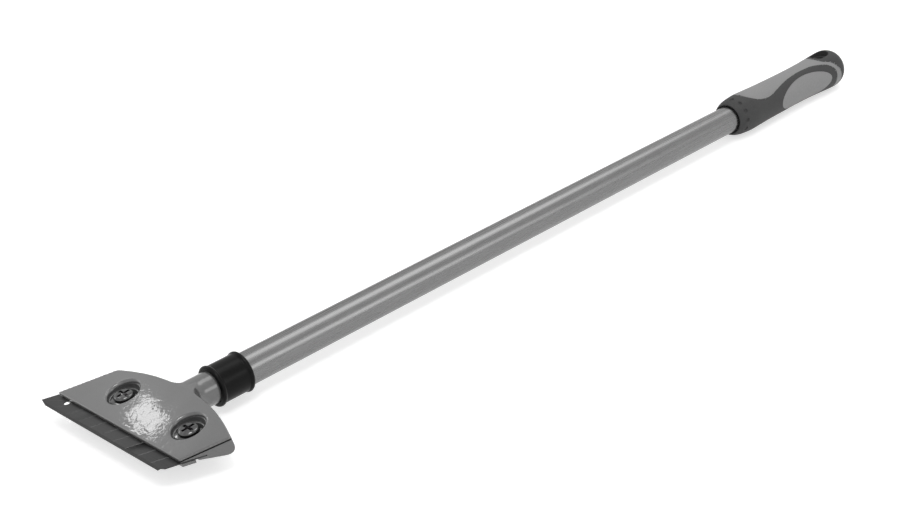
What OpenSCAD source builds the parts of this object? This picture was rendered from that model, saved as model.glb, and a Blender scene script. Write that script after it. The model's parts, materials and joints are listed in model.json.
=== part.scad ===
/* [Blade] */
// Length of the cutting edge between its two virtual corners
blade_length = 100; // [80:1:120]
// Width of the strip, from the cutting edge to the back
blade_width = 18; // [16:0.5:20]
// Thickness of the strip
blade_thickness = 0.5; // [0.4:0.05:0.8]
// Lean of the blade's ends and segments, away from square to the edge
blade_slant = 26; // [0:1:35]
// Distance of the blade's middle to the left of the handle axis
blade_shift = 12.9; // [5:0.1:20]
// Drop of the cutting edge below the handle axis
blade_drop = 2.24; // [1:0.02:5]
// Rise of the blade's plane towards the handle
blade_tilt = 3.8; // [0:0.1:6]
// Blade left free in front of the head
blade_overhang = 7.8; // [5:0.1:9]
// Round hole near the blade's left end
blade_hole_d = 3.6; // [3:0.1:5]
// Distance of the hole from the blade's left virtual corner
blade_hole_inset = 14.2; // [12:0.1:20]
// Distance of the hole behind the cutting edge
blade_hole_back = 7.2; // [5:0.1:8]
// Length of the sharp bevel
bevel_width = 1.4; // [0.8:0.1:2]
// Thickness left at the cutting edge
edge_thickness = 0.08; // [0.05:0.01:0.2]
// Corner cut on the left end, along the edge and along the side
corner_cut = 6.2; // [3:0.1:8]
corner_cut_depth = 1.5; // [1:0.1:2.5]
// Step at the right end, where the last segment was broken off
tip_cut = 0.9; // [0.5:0.1:2]
tip_cut_depth = 1.4; // [1:0.1:2.5]

/* [Head] */
// Blade left free beyond the head's front corner on the left, and head beyond the blade on the right
left_margin = 5.6; // [3:0.1:8]
right_margin = 4.4; // [3:0.1:8]
// Lean of the two side edges
side_slant_left = 33; // [0:1:36]
side_slant_right = 27; // [0:1:34]
// Length of the top face along its slope, to the middle of its rear curve
head_length = 32.5; // [28:0.1:36]
// Radius of the rear curve
rear_radius = 121.5; // [90:0.5:200]
// Rounding of the rear edge, above and below
edge_round_top = 1.5; // [0.5:0.1:2]
edge_round_bottom = 2.6; // [1:0.1:3]
// Slope of the top face
face_tilt = 13.2; // [8:0.1:15]
// Height of the top face's front edge above the cutting edge
face_height = 3; // [2.5:0.1:4]
// Thickness of the rim that stands out over the side walls
rim_thickness = 1.3; // [0.8:0.1:1.6]
// How far the rim stands out
rim_overhang = 0.4; // [0.3:0.1:1]
// Front end of the side walls, from the cutting edge
wall_front = 15.3; // [14.8:0.1:16.5]
// Drop of the side walls' lower edge at their front, below the handle axis
wall_drop = 2.14; // [2:0.02:3.5]
// Slope of the lower edge
bottom_tilt = 6.6; // [3:0.1:9]
// Thickness of the walls round the clamp plate
head_wall = 3; // [2:0.1:4]
// Neck
neck_d = 15.9; // [13:0.1:16]
// Radius of the blend between head and neck
flare_radius = 13; // [8:0.5:16]
// Depth of the blend's underside below the neck where the two meet
blend_step = 0.5; // [0.2:0.1:1]
// Length of the spigot inside the tube
spigot_length = 36; // [25:1:60]

/* [Clamp] */
// Distance of the screws behind the cutting edge
screw_inset = 23.4; // [22.8:0.1:25]
// Dished recess round each screw
recess_d = 17.7; // [15:0.1:19]
// Width of the step below the recess's rim and its depth
recess_step = 1; // [0.5:0.1:1.5]
recess_step_depth = 0.7; // [0.4:0.1:1]
// Metal left under the recess
recess_web = 1.6; // [1.4:0.1:2]
// Washer
washer_d = 13; // [10:0.1:13.5]
washer_thickness = 0.7; // [0.4:0.1:1]
// Clamp screw
screw_d = 4; // [3:0.1:5]
screw_head_d = 9.8; // [7:0.1:10.5]
screw_head_height = 1.9; // [1.8:0.1:2.6]
// Rise of one screw turn
thread_pitch = 0.7; // [0.5:0.05:1]
// Clamp plate
plate_thickness = 1.4; // [1.2:0.1:1.6]
// Front and rear ends of the plate's wide bar
bar_front = 8.6; // [8:0.1:10]
bar_rear = 13.9; // [12:0.1:14.2]
// Outer diameter of the tapped bosses
boss_d = 8; // [7:0.1:9]
// Height of the tapped bosses below the plate
boss_height = 0.8; // [0.4:0.1:1.2]

/* [Handle] */
// Outer diameter of the handle tube
tube_d = 16.3; // [14:0.1:20]
// Wall of the handle tube
tube_wall = 1; // [0.8:0.1:1.5]
// Front end of the tube, from the cutting edge
tube_front = 58; // [56:0.5:62]
// Length of the tube
tube_length = 441; // [200:1:500]
// Cross pin through tube and spigot
pin_d = 3; // [2:0.1:4]
pin_inset = 5; // [3:0.1:8]
// Outer diameter of the collar between its beads
collar_d = 18.9; // [18:0.1:24]
// Centre of the collar's front bead, from the cutting edge, and spacing of the beads
collar_front = 54.3; // [53:0.1:56]
collar_spacing = 16; // [14:0.1:20]
// Outer diameter over the beads and thickness of a bead
bead_d = 20.7; // [20:0.1:26]
bead_thickness = 3.6; // [2:0.1:4]

/* [Grip] */
// Length of the tube inside the grip
tube_in_grip = 59.8; // [40:0.1:70]
// Length of the grip
grip_length = 116.8; // [100:0.1:140]
// Radius of the grip at the front sleeve
grip_radius = 11.85; // [11.2:0.05:14]
// Thickness of the dark skin and of the inlays
skin_thickness = 1.4; // [1:0.1:1.8]
// Length of the dark lip in front of the core
lip_length = 3; // [2:0.1:5]
// Gap between the tube and the lip
mouth_gap = 0.8; // [0.5:0.1:1.2]
// Small sunken marks round the front sleeve
mark_count = 12; // [6:1:16]
mark_d = 1.7; // [1:0.1:2.5]
mark_depth = 0.6; // [0.3:0.1:1]
mark_inset = 5.6; // [4:0.1:9]
// Hanging hole through the grip's end
hang_hole_d = 8.4; // [6:0.1:9]
// Distance of the hole from the grip's rear end
hang_from_end = 17.5; // [14:0.1:22]
// Long mouth round the hole, wider than the hole, and its depth
mouth_margin = 0.5; // [0.3:0.1:1]
mouth_stretch = 2.4; // [1:0.1:3]
mouth_depth = 2.9; // [2:0.1:4]

/* [Fits] */
// Running clearance of pieces that move
run_gap = 0.05; // [0.02:0.01:0.1]
// Gap between pieces that are fixed to each other
seat_gap = 0.05; // [0.02:0.01:0.1]
// Side gap between the clamp plate and the walls round it
side_gap = 0.5; // [0.3:0.1:1]

/* [Hidden] */
$fn = 96;

// Overrun of cuts, larger than the head in every direction
far = 2 * blade_length;
grip_front = tube_front + tube_length - tube_in_grip;
hang_x = grip_front + grip_length - hang_from_end;
neck_r = neck_d / 2;
// Height of the blocks that the head is cut from
block_height = 2 * neck_d;
tube_r = tube_d / 2;
tube_bore_r = tube_r - tube_wall;
blend_end = blade_overhang + head_length + flare_radius / 2;
blend_start = blend_end - flare_radius;
// Width kept of the blend, as a share of its radius
flare_share = 0.7;
// Front corners of the top face
front_left = blade_shift + blade_length / 2 - left_margin;
front_right = blade_length / 2 - blade_shift + right_margin;
// Slopes between the blade, the top face and the lower edge, and centres of the two rear curves
rear_centre_top = head_length - rear_radius;
rear_centre_bottom = blade_overhang + head_length - rear_radius - wall_front + edge_round_bottom;
// The screws share the head's width at their row
screw_spread_share = 0.53;

// Heights in the blade's own frame, whose zero is the blade's underside
seat_z = blade_thickness + run_gap;
heel_z = run_gap;
washer_z = heel_z + recess_web;
screw_head_z = washer_z + washer_thickness + run_gap;
plate_top_z = -run_gap;
boss_end_z = plate_top_z - plate_thickness - boss_height;

// Cross recess of a clamp screw, as shares of its head
recess_length_share = 0.62;
recess_width_share = 0.14;
recess_depth_share = 0.6;
// Rounded edge of a clamp screw's head, as a share of its height
dome_share = 0.45;

// Grip outline from front to end, as shares of its length and radius
grip_outline_shares = [
    [0, 0.789], [0.007, 0.823], [0.015, 0.865], [0.033, 0.928], [0.058, 0.97], [0.092, 1],
    [0.144, 1.021], [0.195, 1.004], [0.247, 0.987], [0.307, 0.97], [0.409, 0.958],
    [0.521, 0.947], [0.623, 0.952], [0.709, 0.968], [0.795, 1.002], [0.863, 1.03],
    [0.906, 1.042], [0.932, 1.021], [0.953, 0.937], [0.97, 0.785], [0.985, 0.557],
    [0.996, 0.295], [1, 0]
];
// Upper edge of the dark skin, as shares of the grip's length and radius
skin_edge_shares = [
    [0.105, 1.2], [0.131, 0.853], [0.174, 0.688], [0.212, 0.609], [0.259, 0.566], [0.298, 0.593],
    [0.357, 0.685], [0.48, 0.823], [0.576, 0.86], [0.697, 0.853], [0.783, 0.741], [0.817, 0.637],
    [0.849, 0.417], [0.869, 0.031], [0.872, -0.206], [0.876, -0.713], [0.876, -1.2]
];
// Front edge of the dark end cap, as shares of the hanging hole's distance from the end and of the radius
cap_edge_shares = [
    [-0.769, 1.2], [-0.542, 0.979], [-0.369, 0.844], [-0.001, 0.684], [0.146, 0.489], [0.339, 0.118],
    [0.433, -0.27], [0.473, -0.599], [0.486, -1.198]
];
// Oval side inlay: middle and half sizes, as shares of the grip's length and radius
inlay_middle_shares = [0.593, -0.09];
inlay_half_shares = [0.229, 0.77];

// Side edges of the head at a distance x along the top face's slope, moved in by e
function left_edge(x, e) = front_left - x * tan(side_slant_left) - e / cos(side_slant_left);
function right_edge(x, e) = -front_right - x * tan(side_slant_right) + e / cos(side_slant_right);

// Ends of the blade at a distance x behind the cutting edge
function blade_end(x, side) = blade_shift + side * blade_length / 2 - x * tan(blade_slant);

// Places of the two screws across the head, spread about the middle of their row
screw_row_x = screw_inset - blade_overhang;
screw_spread = screw_spread_share * (left_edge(screw_row_x, 0) - right_edge(screw_row_x, 0));
screw_middle = (left_edge(screw_row_x, 0) + right_edge(screw_row_x, 0)) / 2;
screw_left = screw_middle + screw_spread / 2;
screw_right = screw_middle - screw_spread / 2;

// Moves what is drawn from the cutting edge so that the hanging hole is the origin
module tool() {
    translate([-hang_x, 0, 0]) children();
}

// Frame of the blade: zero at the cutting edge's underside, x towards the blade's back
module blade_frame() {
    tool() translate([0, 0, -blade_drop]) rotate([0, -blade_tilt, 0]) children();
}

module screw_place(side_y) {
    blade_frame() translate([screw_inset, side_y, 0]) children();
}

// Frame of the top face: zero at its front edge, x up its slope
module face_frame() {
    tool() translate([blade_overhang, 0, face_height - blade_drop]) rotate([0, -face_tilt, 0]) children();
}

// Frame of the side walls' lower edge: zero at its front end, x along it
module bottom_frame() {
    tool() translate([wall_front, 0, -wall_drop]) rotate([0, bottom_tilt, 0]) children();
}

// Everything below the top face
module below_face() {
    face_frame() translate([-far, -far, -far]) cube([2 * far, 2 * far, far]);
}

// Side view of a round disc below zero, its upper edge rounded by r
module disc_profile(r) {
    translate([0, -block_height]) square([rear_radius - r, block_height]);
    translate([0, -block_height]) square([rear_radius, block_height - r]);
    translate([rear_radius - r, -r]) circle(r = r);
}

// The head's outline seen square to the top face
module plan_block() {
    rear_x = head_length + flare_radius;
    face_frame() intersection() {
        translate([0, 0, -neck_d]) linear_extrude(block_height) polygon([
            [0, left_edge(0, 0)], [0, right_edge(0, 0)],
            [rear_x, right_edge(rear_x, 0)], [rear_x, left_edge(rear_x, 0)]
        ]);
        translate([rear_centre_top, 0, 0]) rotate_extrude($fn = 360) disc_profile(edge_round_top);
    }
}

// Strips that set the side walls back under the rim
module side_undercut() {
    rear_x = head_length + flare_radius;
    face_frame() translate([0, 0, -rim_thickness - block_height]) linear_extrude(block_height) {
        polygon([
            [-head_length, left_edge(-head_length, rim_overhang)], [rear_x, left_edge(rear_x, rim_overhang)],
            [rear_x, far], [-head_length, far]
        ]);
        polygon([
            [-head_length, right_edge(-head_length, rim_overhang)], [rear_x, right_edge(rear_x, rim_overhang)],
            [rear_x, -far], [-head_length, -far]
        ]);
    }
}

// Everything above the lower edge of the side walls, inside the lower rounding of the rear wall
module above_bottom() {
    bottom_frame() translate([rear_centre_bottom, 0, 0]) mirror([0, 0, 1])
        rotate_extrude($fn = 360) disc_profile(edge_round_bottom);
}

// Blend from the head to the neck, the neck and the spigot, turned about the handle axis
module neck_form() {
    tool() rotate([0, 90, 0]) rotate_extrude() {
        translate([0, blend_start]) square([neck_r, tube_front - blend_start]);
        translate([0, tube_front]) square([tube_bore_r - seat_gap, spigot_length]);
        difference() {
            translate([0, blend_start]) square([neck_r + flare_radius * flare_share, flare_radius]);
            translate([neck_r + flare_radius, blend_end]) circle(r = flare_radius);
        }
    }
}

// The blend's underside falls from the side walls' lower edge to just below the neck
module above_blend_bottom() {
    z_high = -wall_drop - (blend_start - wall_front) * tan(bottom_tilt) + blend_step;
    slope = atan((neck_r + blend_step + z_high) / (blend_end - blend_start));
    tool() translate([blend_start, 0, z_high]) rotate([0, slope, 0])
        translate([-far, -far, 0]) cube([2 * far, 2 * far, far]);
}

// Dish in the top face round one screw
module recess_cut(side_y) {
    screw_place(side_y) {
        translate([0, 0, washer_z]) cylinder(h = far, d = recess_d - 2 * recess_step);
        translate([0, 0, -far]) cylinder(h = 2 * far, d = screw_d + 2 * side_gap);
    }
    face_x = (screw_inset - blade_overhang) / cos(face_tilt - blade_tilt);
    face_frame() translate([face_x, side_y, -recess_step_depth]) cylinder(h = far, d = recess_d);
}

// Outline for the clamp plate and its room, between two distances behind the cutting edge
module plate_outline(front_x, rear_x, e) {
    intersection() {
        polygon([
            [front_x, left_edge(front_x - blade_overhang, e)],
            [front_x, right_edge(front_x - blade_overhang, e)],
            [rear_x, right_edge(rear_x - blade_overhang, e)],
            [rear_x, left_edge(rear_x - blade_overhang, e)]
        ]);
        translate([blade_overhang + rear_centre_top, 0]) circle(r = rear_radius - e, $fn = 360);
    }
}

// Slit for the back of the blade: closed beside the blade's right end, open on the left
module blade_slit() {
    slit_rear = blade_width + side_gap;
    translate([0, 0, -run_gap]) linear_extrude(blade_thickness + 2 * run_gap) polygon([
        [0, blade_end(0, -1) - side_gap], [slit_rear, blade_end(slit_rear, -1) - side_gap],
        [slit_rear, far], [0, far]
    ]);
}

module clamp_room() {
    room_rear = screw_inset + boss_d;
    blade_frame() {
        // Open front below the blade's seat
        translate([-far, -far, -far]) cube([far + wall_front, 2 * far, far + seat_z]);
        blade_slit();
        // Pocket for the rear of the plate
        translate([0, 0, -far]) linear_extrude(far + heel_z)
            plate_outline(wall_front - head_wall, room_rear, head_wall);
    }
}

module head_casting() {
    color("darkgray") difference() {
        intersection() {
            union() {
                difference() {
                    intersection() {
                        plan_block();
                        above_bottom();
                    }
                    side_undercut();
                }
                intersection() {
                    neck_form();
                    above_blend_bottom();
                }
            }
            below_face();
        }
        recess_cut(screw_left);
        recess_cut(screw_right);
        clamp_room();
        pin_cut(pin_d / 2 + seat_gap);
    }
}

module pin_cut(r) {
    tool() translate([tube_front + pin_inset, 0, 0]) rotate([90, 0, 0])
        cylinder(h = 2 * tube_d, r = r, center = true);
}

module clamp_plate() {
    tongue_rear = screw_inset + boss_d / 2;
    color("gray") blade_frame() difference() {
        union() {
            translate([0, 0, plate_top_z - plate_thickness]) linear_extrude(plate_thickness) {
                plate_outline(bar_front, bar_rear, rim_overhang);
                plate_outline(bar_front, tongue_rear, head_wall + side_gap);
            }
            for (side_y = [screw_left, screw_right])
                translate([screw_inset, side_y, boss_end_z])
                    cylinder(h = plate_top_z - boss_end_z, d = boss_d);
        }
        for (side_y = [screw_left, screw_right])
            translate([screw_inset, side_y, -far]) cylinder(h = 2 * far, d = screw_d + 2 * run_gap);
    }
}

module blade() {
    bevel_angle = atan((blade_thickness - edge_thickness) / bevel_width);
    tip_x = tip_cut_depth + tip_cut;
    color("dimgray") blade_frame() difference() {
        linear_extrude(blade_thickness) polygon([
            [0, blade_end(0, 1) - corner_cut],
            [0, blade_end(0, -1) + tip_cut],
            [tip_cut_depth, blade_end(0, -1) + tip_cut],
            [tip_x, blade_end(tip_x, -1)],
            [blade_width, blade_end(blade_width, -1)],
            [blade_width, blade_end(blade_width, 1)],
            [corner_cut_depth, blade_end(corner_cut_depth, 1)]
        ]);
        translate([0, 0, edge_thickness]) rotate([0, -bevel_angle, 0])
            translate([-far, -far, 0]) cube([far + bevel_width, 2 * far, far]);
        translate([blade_hole_back, blade_end(0, 1) - blade_hole_inset, -far])
            cylinder(h = 2 * far, d = blade_hole_d);
    }
}

// Screw head with a rounded edge, a cross recess and a plain shank
module clamp_screw(side_y) {
    dome = dome_share * screw_head_height;
    head_r = screw_head_d / 2;
    steps = 6;
    dome_points = [for (i = [0 : steps]) let (a = 90 * i / steps)
        [head_r - dome * (1 - cos(a)), screw_head_height - dome * (1 - sin(a))]];
    slot_length = screw_head_d * recess_length_share;
    slot_width = screw_head_d * recess_width_share;
    slot_depth = screw_head_height * recess_depth_share;
    screw_place(side_y) difference() {
        union() {
            translate([0, 0, screw_head_z]) rotate_extrude() polygon(concat(
                [[0, 0], [head_r, 0]], dome_points, [[0, screw_head_height]]
            ));
            translate([0, 0, boss_end_z]) cylinder(h = screw_head_z - boss_end_z + dome, d = screw_d);
        }
        for (turn = [0, 90])
            translate([0, 0, screw_head_z + screw_head_height]) rotate([0, 0, turn])
                cube([slot_length, slot_width, 2 * slot_depth], center = true);
    }
}

module clamp_screw_left() {
    color("silver") clamp_screw(screw_left);
}

module clamp_screw_right() {
    color("silver") clamp_screw(screw_right);
}

module washers() {
    color("lightgray") for (side_y = [screw_left, screw_right])
        screw_place(side_y) difference() {
            translate([0, 0, washer_z]) cylinder(h = washer_thickness, d = washer_d);
            translate([0, 0, -far]) cylinder(h = 2 * far, d = screw_d + 2 * side_gap);
        }
}

module tube_pin() {
    color("silver") tool() translate([tube_front + pin_inset, 0, 0]) rotate([90, 0, 0])
        cylinder(h = 2 * sqrt(tube_r * tube_r - pin_d * pin_d / 4), d = pin_d, center = true);
}

module collar() {
    bead_r = bead_thickness / 2;
    color("#222222") tool() rotate([0, 90, 0]) difference() {
        union() {
            translate([0, 0, collar_front]) cylinder(h = collar_spacing, d = collar_d);
            for (end_x = [collar_front, collar_front + collar_spacing])
                translate([0, 0, end_x]) rotate_extrude()
                    translate([bead_d / 2 - bead_r, 0]) circle(r = bead_r, $fn = 48);
        }
        translate([0, 0, -far]) cylinder(h = 2 * far, r = tube_r + seat_gap);
    }
}

module handle_tube() {
    color("gainsboro") difference() {
        tool() translate([tube_front, 0, 0]) rotate([0, 90, 0]) difference() {
            cylinder(h = tube_length, r = tube_r);
            translate([0, 0, -far]) cylinder(h = tube_length + 2 * far, r = tube_bore_r);
        }
        pin_cut(pin_d / 2 + seat_gap);
    }
}

// The grip's outer form, made smaller by d, between two distances from its front end
module grip_form(d, from_x, to_x) {
    outline = [for (p = grip_outline_shares) [max(p[1] * grip_radius - d, 0), p[0] * grip_length]];
    tool() translate([grip_front, 0, 0]) rotate([0, 90, 0]) intersection() {
        rotate_extrude() polygon(concat([[0, 0]], outline));
        translate([0, 0, from_x]) cylinder(h = to_x - from_x, r = 2 * grip_radius);
    }
}

// The outer skin of the grip, d thick, with its solid front lip and end
module grip_skin(d) {
    difference() {
        grip_form(0, 0, grip_length);
        grip_form(d, lip_length, grip_length - d);
    }
}

// A side view outline from a starting place, in shares of a length and the grip's radius, cut sideways
module side_view(shares, start, length) {
    points = [for (p = shares) [p[0] * length, p[1] * grip_radius]];
    tool() translate([start, 0, 0]) rotate([90, 0, 0])
        linear_extrude(4 * grip_radius, center = true) polygon(points);
}

module dark_region() {
    side_view(concat([[-1, 1.2]], skin_edge_shares, [[-1, -1.2]]), grip_front, grip_length);
}

module cap_region() {
    side_view(concat(cap_edge_shares, [[2, -1.2], [2, 1.2]]), hang_x, hang_from_end);
}

module inlay_region() {
    points = [for (i = [0 : 39]) let (a = 360 * i / 40) [
        inlay_middle_shares[0] + inlay_half_shares[0] * cos(a),
        inlay_middle_shares[1] + inlay_half_shares[1] * sin(a)
    ]];
    side_view(points, grip_front, grip_length);
}

// Hanging hole with its long mouths above and below
module hang_cut() {
    mouth_r = hang_hole_d / 2 + mouth_margin;
    mouth_z = grip_radius - mouth_depth;
    cylinder(h = 4 * grip_radius, d = hang_hole_d, center = true);
    for (side = [0, 1])
        mirror([0, 0, side]) translate([0, 0, mouth_z]) {
            for (end_x = [-mouth_stretch, mouth_stretch])
                translate([end_x, 0, 0]) cylinder(h = grip_radius, r = mouth_r);
            translate([-mouth_stretch, -mouth_r, 0]) cube([2 * mouth_stretch, 2 * mouth_r, grip_radius]);
        }
}

module tube_cut(gap, from_x, length) {
    tool() translate([from_x, 0, 0]) rotate([0, 90, 0]) cylinder(h = length, r = tube_r + gap);
}

module grip_core() {
    color("darkgray") difference() {
        grip_form(0, lip_length, grip_length);
        intersection() {
            grip_skin(skin_thickness + seat_gap);
            union() {
                dark_region();
                cap_region();
            }
        }
        tube_cut(seat_gap, 0, tube_front + tube_length + seat_gap);
        hang_cut();
    }
}

module grip_overmould() {
    color("#404040") difference() {
        intersection() {
            grip_skin(skin_thickness);
            dark_region();
        }
        inlay_region();
        tube_cut(mouth_gap, 0, grip_front + lip_length);
        hang_cut();
        for (i = [0 : mark_count - 1])
            tool() translate([grip_front + mark_inset, 0, 0]) rotate([360 * i / mark_count, 0, 0])
                translate([0, 0, grip_radius - mark_depth]) cylinder(h = grip_radius, d = mark_d, $fn = 24);
    }
}

// One oval inlay, on the side that the sign gives
module side_inlay(side) {
    color("darkgray") intersection() {
        grip_skin(skin_thickness);
        inlay_region();
        tool() translate([0, side > 0 ? 0 : -far, -far]) cube([grip_front + grip_length, far, 2 * far]);
    }
}

module side_inlay_left() {
    side_inlay(1);
}

module side_inlay_right() {
    side_inlay(-1);
}

module grip_end_cap() {
    color("#404040") difference() {
        intersection() {
            grip_skin(skin_thickness);
            cap_region();
        }
        hang_cut();
    }
}

head_casting();
clamp_plate();
blade();
clamp_screw_left();
clamp_screw_right();
washers();
tube_pin();
collar();
handle_tube();
grip_core();
grip_overmould();
side_inlay_left();
side_inlay_right();
grip_end_cap();
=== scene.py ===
import json
import math

import bmesh
import bpy
from mathutils import Matrix, Vector

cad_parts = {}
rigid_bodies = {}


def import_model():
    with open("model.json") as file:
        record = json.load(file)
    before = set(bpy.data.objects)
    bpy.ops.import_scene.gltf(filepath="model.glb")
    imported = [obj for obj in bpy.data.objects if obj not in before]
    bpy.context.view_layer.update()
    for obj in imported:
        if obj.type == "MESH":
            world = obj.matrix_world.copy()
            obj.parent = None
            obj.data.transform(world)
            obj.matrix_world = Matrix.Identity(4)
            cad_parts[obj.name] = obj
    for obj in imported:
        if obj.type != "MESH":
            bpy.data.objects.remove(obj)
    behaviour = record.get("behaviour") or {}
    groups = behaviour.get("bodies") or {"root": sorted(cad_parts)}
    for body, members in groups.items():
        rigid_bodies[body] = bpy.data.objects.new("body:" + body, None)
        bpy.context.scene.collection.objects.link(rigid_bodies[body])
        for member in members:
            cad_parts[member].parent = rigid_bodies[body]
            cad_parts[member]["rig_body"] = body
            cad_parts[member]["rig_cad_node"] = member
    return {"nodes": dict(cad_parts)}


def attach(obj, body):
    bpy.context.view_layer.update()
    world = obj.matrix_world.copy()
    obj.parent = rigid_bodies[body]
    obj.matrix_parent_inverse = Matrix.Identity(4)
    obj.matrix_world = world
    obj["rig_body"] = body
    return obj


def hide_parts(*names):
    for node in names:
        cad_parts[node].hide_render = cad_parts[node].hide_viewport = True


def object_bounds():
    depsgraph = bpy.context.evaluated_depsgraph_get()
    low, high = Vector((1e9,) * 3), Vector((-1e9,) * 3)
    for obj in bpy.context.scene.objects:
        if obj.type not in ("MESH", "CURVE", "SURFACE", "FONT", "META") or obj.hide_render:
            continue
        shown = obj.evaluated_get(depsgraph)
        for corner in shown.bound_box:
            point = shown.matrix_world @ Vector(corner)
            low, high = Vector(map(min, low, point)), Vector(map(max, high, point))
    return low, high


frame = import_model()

cad_box = [list(corner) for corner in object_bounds()]
NODES = frame["nodes"]

# Places, in millimetres

# The part's origin is the middle of the hanging hole. Most places here are measured from the
# point where the cutting edge crosses the handle's line: x back along the handle, y to the
# left, z up.
EDGE_X, EDGE_Z = -538.5, -2.24
BLADE_TILT = math.radians(3.8)
BLADE_C, BLADE_S = math.cos(BLADE_TILT), math.sin(BLADE_TILT)
BLADE_UP = Vector((-BLADE_S, 0, BLADE_C))
# The head's top face starts just above the blade and rises towards the handle.
FACE_FRONT_X, FACE_FRONT_Z = 7.8, 0.76
FACE_TILT = math.radians(13.2)
FACE_C, FACE_S = math.cos(FACE_TILT), math.sin(FACE_TILT)
FACE_UP = Vector((-FACE_S, 0, FACE_C))
SCREW_SPOTS = ((23.4, 24.46), (23.4, -26.74))


def from_edge(x, y, z):
    """A point measured from the cutting edge, as a place in metres."""
    return Vector((x + EDGE_X, y, z)) / 1000


def on_blade(x, y, z):
    """A point measured in the blade's tilted plane, as a place in metres."""
    return from_edge(x * BLADE_C - z * BLADE_S, y, x * BLADE_S + z * BLADE_C + EDGE_Z)


def on_face(u, v, w):
    """A point measured up the slope of the top face, as a place in metres."""
    return from_edge(FACE_FRONT_X + u * FACE_C - w * FACE_S, v,
                     FACE_FRONT_Z + u * FACE_S + w * FACE_C)


# Working by hand
def deselect():
    if bpy.context.object and bpy.context.object.mode != "OBJECT":
        bpy.ops.object.mode_set(mode="OBJECT")
    bpy.ops.object.select_all(action="DESELECT")


def pick(piece):
    deselect()
    piece.select_set(True)
    bpy.context.view_layer.objects.active = piece


def apply_modifier(piece, kind, **settings):
    pick(piece)
    modifier = piece.modifiers.new(kind.title(), kind)
    for key, value in settings.items():
        setattr(modifier, key, value)
    if bpy.ops.object.modifier_apply(modifier=modifier.name) != {"FINISHED"}:
        raise RuntimeError(f"{kind} on {piece.name} was not applied")


def close_seams(piece):
    """Merges doubled points and turns the faces outwards."""
    pick(piece)
    bpy.ops.object.mode_set(mode="EDIT")
    bpy.ops.mesh.select_all(action="SELECT")
    bpy.ops.mesh.remove_doubles(threshold=4e-6)
    bpy.ops.mesh.normals_make_consistent(inside=False)
    bpy.ops.object.mode_set(mode="OBJECT")


def draw(name, corners):
    """A wire through the corners, drawn by extruding one corner of a plane."""
    deselect()
    bpy.ops.mesh.primitive_plane_add(size=0.001, location=corners[0])
    piece = bpy.context.object
    piece.name = name
    bpy.ops.object.transform_apply(location=True, rotation=True, scale=True)
    bpy.ops.object.mode_set(mode="EDIT")
    bpy.ops.mesh.select_all(action="SELECT")
    bpy.ops.mesh.merge(type="CENTER")
    for here, there in zip(corners, corners[1:]):
        bpy.ops.mesh.extrude_region_move(TRANSFORM_OT_translate={"value": there - here})
    bpy.ops.mesh.select_all(action="SELECT")
    return piece


def turn_on_lathe(name, outline, steps=96, centre=None, axis=(1, 0, 0), side=(0, 0, 1)):
    """A closed turned piece from (place along the axis, radius) points, in millimetres."""
    centre = from_edge(0, 0, 0) if centre is None else centre
    axis, side = Vector(axis), Vector(side)
    piece = draw(name, [centre + (axis * a + side * r) / 1000 for a, r in outline])
    bpy.ops.mesh.spin(steps=steps, angle=2 * math.pi, center=centre, axis=axis, dupli=False)
    close_seams(piece)
    return piece


def block(name, corners, push):
    """A closed outline, filled and extruded by a push in millimetres."""
    piece = draw(name, corners)
    bpy.ops.mesh.edge_face_add()
    bpy.ops.mesh.select_all(action="SELECT")
    bpy.ops.mesh.extrude_region_move(TRANSFORM_OT_translate={"value": Vector(push) / 1000})
    close_seams(piece)
    return piece


def cut(piece, other, operation="DIFFERENCE", keep=False):
    """Cuts the other piece out, joins it on or keeps what both share."""
    apply_modifier(piece, "BOOLEAN", object=other, operation=operation, solver="MANIFOLD")
    if not keep:
        bpy.data.objects.remove(other)
    return piece


def slice_off(piece, place, normal):
    """Takes away what lies on the normal's side of a plane, and closes the cut."""
    pick(piece)
    bpy.ops.object.mode_set(mode="EDIT")
    bpy.ops.mesh.select_all(action="SELECT")
    bpy.ops.mesh.bisect(plane_co=place, plane_no=normal, use_fill=True, clear_outer=True)
    bpy.ops.object.mode_set(mode="OBJECT")


def round_edges(piece, wanted, width, segments):
    """Bevels the edges whose two ends pass the test."""
    pick(piece)
    bpy.ops.object.mode_set(mode="EDIT")
    bpy.ops.mesh.select_mode(type="EDGE")
    bpy.ops.mesh.select_all(action="DESELECT")
    mesh = bmesh.from_edit_mesh(piece.data)
    for edge in mesh.edges:
        edge.select_set(wanted(edge.verts[0].co, edge.verts[1].co))
    bmesh.update_edit_mesh(piece.data)
    bpy.ops.mesh.bevel(offset=width / 1000, segments=segments, affect="EDGES", clamp_overlap=True)
    bpy.ops.mesh.select_mode(type="VERT")
    bpy.ops.object.mode_set(mode="OBJECT")


def twin(piece, name):
    other = piece.copy()
    other.data = piece.data.copy()
    other.name = name
    bpy.context.scene.collection.objects.link(other)
    return other


def copy_of_solid(node, name, bevel=0.0):
    """A merged copy of a CAD solid, with its hard edges rounded."""
    piece = twin(NODES[node], name)
    piece.parent = None
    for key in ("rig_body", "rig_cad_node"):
        if key in piece:
            del piece[key]
    close_seams(piece)
    bpy.ops.object.mode_set(mode="EDIT")
    bpy.ops.mesh.select_all(action="SELECT")
    bpy.ops.mesh.dissolve_limited(angle_limit=math.radians(1.0))
    bpy.ops.object.mode_set(mode="OBJECT")
    if bevel:
        apply_modifier(
            piece, "BEVEL", width=bevel / 1000, segments=2, limit_method="ANGLE",
            angle_limit=math.radians(30), use_clamp_overlap=True, harden_normals=False,
        )
    return piece


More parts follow.
